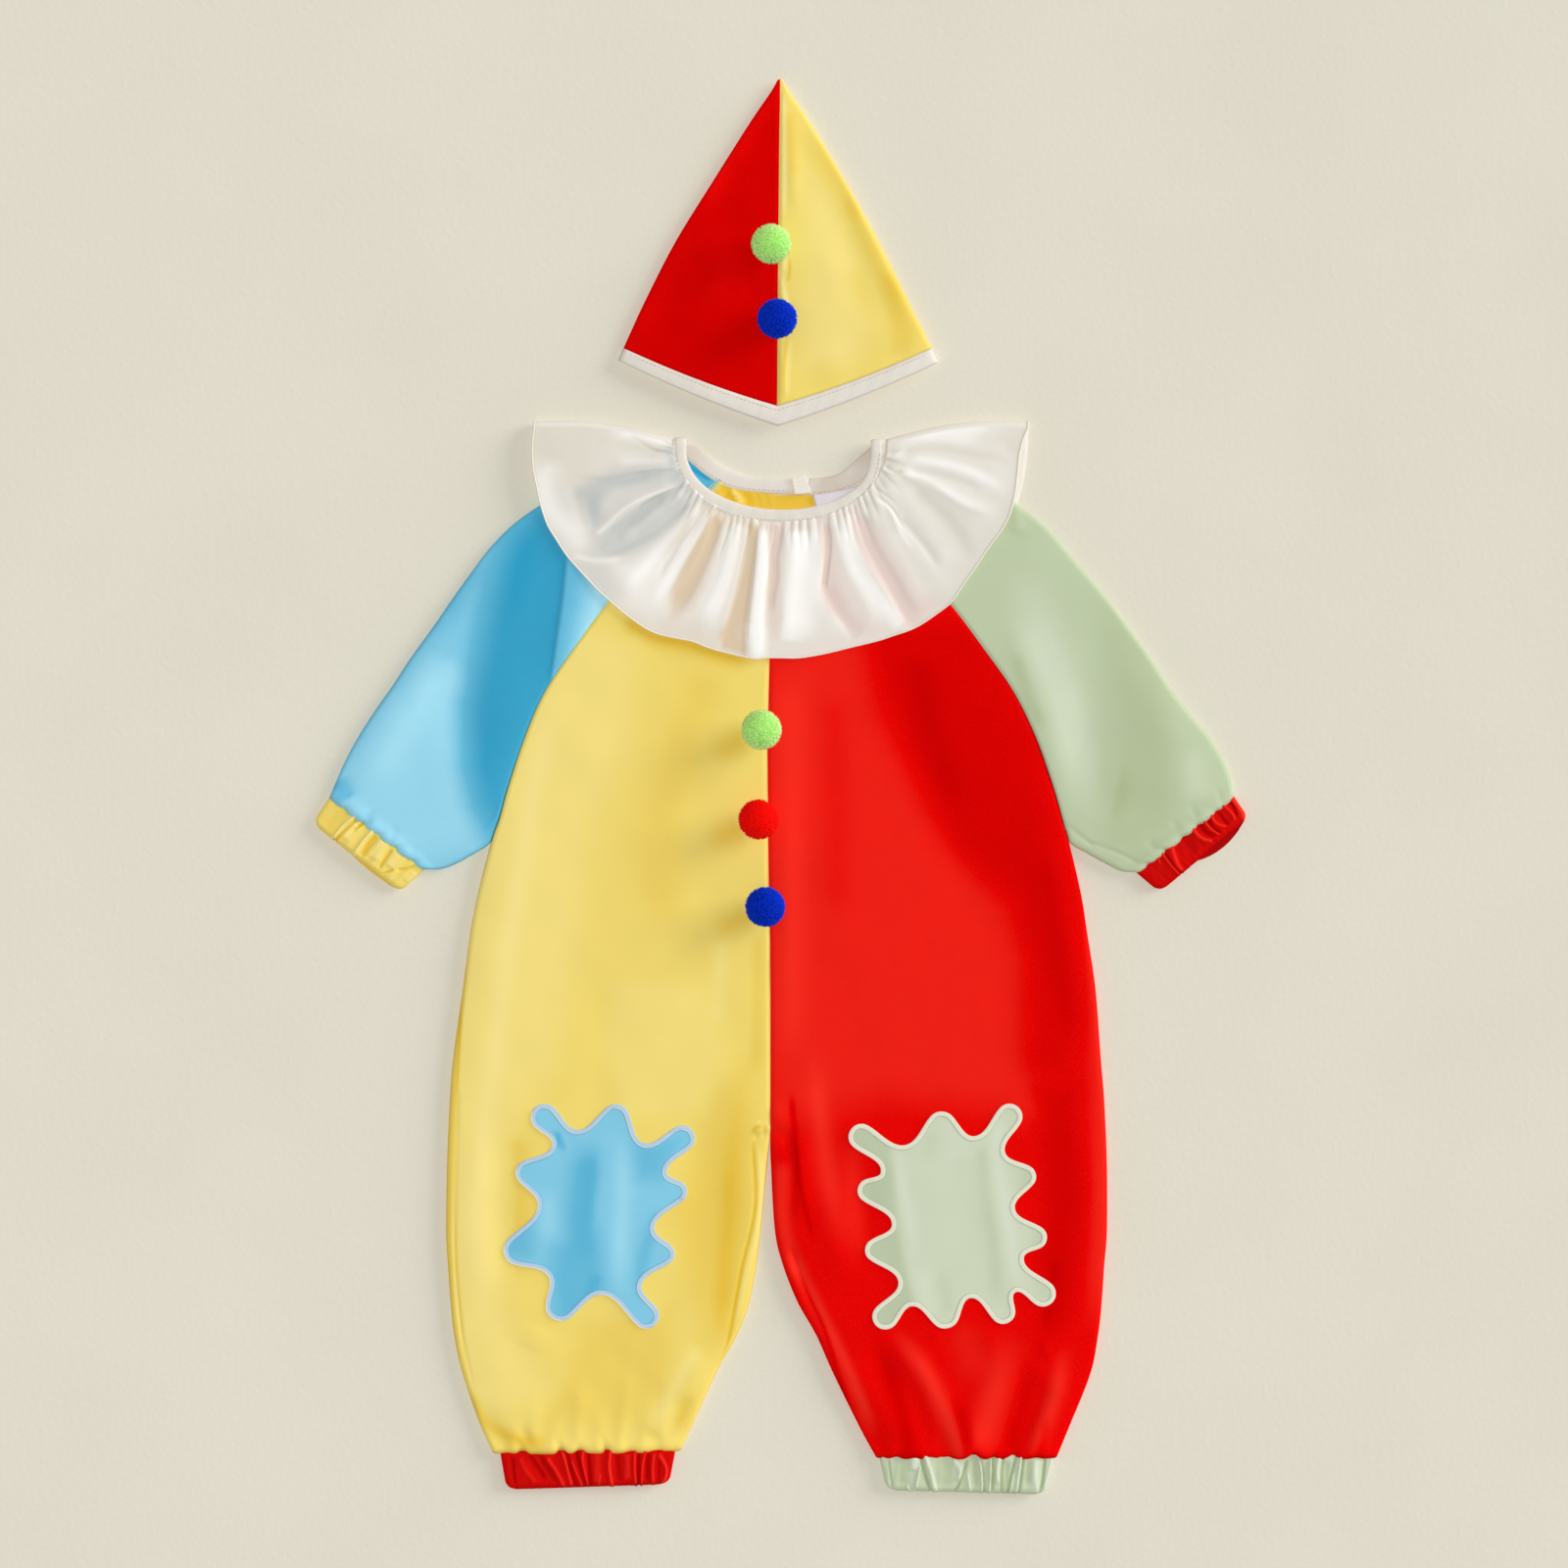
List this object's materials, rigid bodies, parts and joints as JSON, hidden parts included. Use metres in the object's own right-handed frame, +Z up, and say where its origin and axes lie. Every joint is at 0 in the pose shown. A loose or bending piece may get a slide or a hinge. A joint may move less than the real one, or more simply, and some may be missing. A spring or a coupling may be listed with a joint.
{
  "type": "baby's clown costume laid flat: romper and pointed hat",
  "caption": "Colour-blocked clown romper with ruffled collar, wavy knee patches and pompoms, laid flat under its pointed hat.",
  "frame": {"origin": "on the floor, under the middle of the whole set's box", "axes": "+X to the viewer's right, +Y from the legs to the hat, +Z up from the floor through the cloth"},
  "size_m": [0.5342, 0.8087, 0.0302],
  "materials": {
    "yellow": "plain woven cloth",
    "red": "plain woven cloth, slightly brushed",
    "blue": "plain woven cloth",
    "sage": "plain woven cloth",
    "cream": "thin plain woven cloth",
    "pompom_green": "fluffy yarn",
    "pompom_red": "fluffy yarn",
    "pompom_blue": "fluffy yarn"
  },
  "bodies": {
    "root": {"front_yellow": "yellow", "front_red": "red", "back_yellow": "yellow", "back_red": "red", "sleeve_blue": "blue", "sleeve_green": "sage", "sleeve_cuff_yellow": "yellow", "sleeve_cuff_red": "red", "leg_cuff_red": "red", "leg_cuff_green": "sage", "neck_binding": "cream", "collar_ruffle": "cream", "neck_facing": "cream", "patch_blue": "blue", "patch_green": "sage", "pompom_chest_green": "pompom_green", "pompom_chest_red": "pompom_red", "pompom_chest_blue": "pompom_blue", "hat_red": "red", "hat_yellow": "yellow", "hat_band": "cream", "pompom_hat_green": "pompom_green", "pompom_hat_blue": "pompom_blue"}
  },
  "joints": []
}
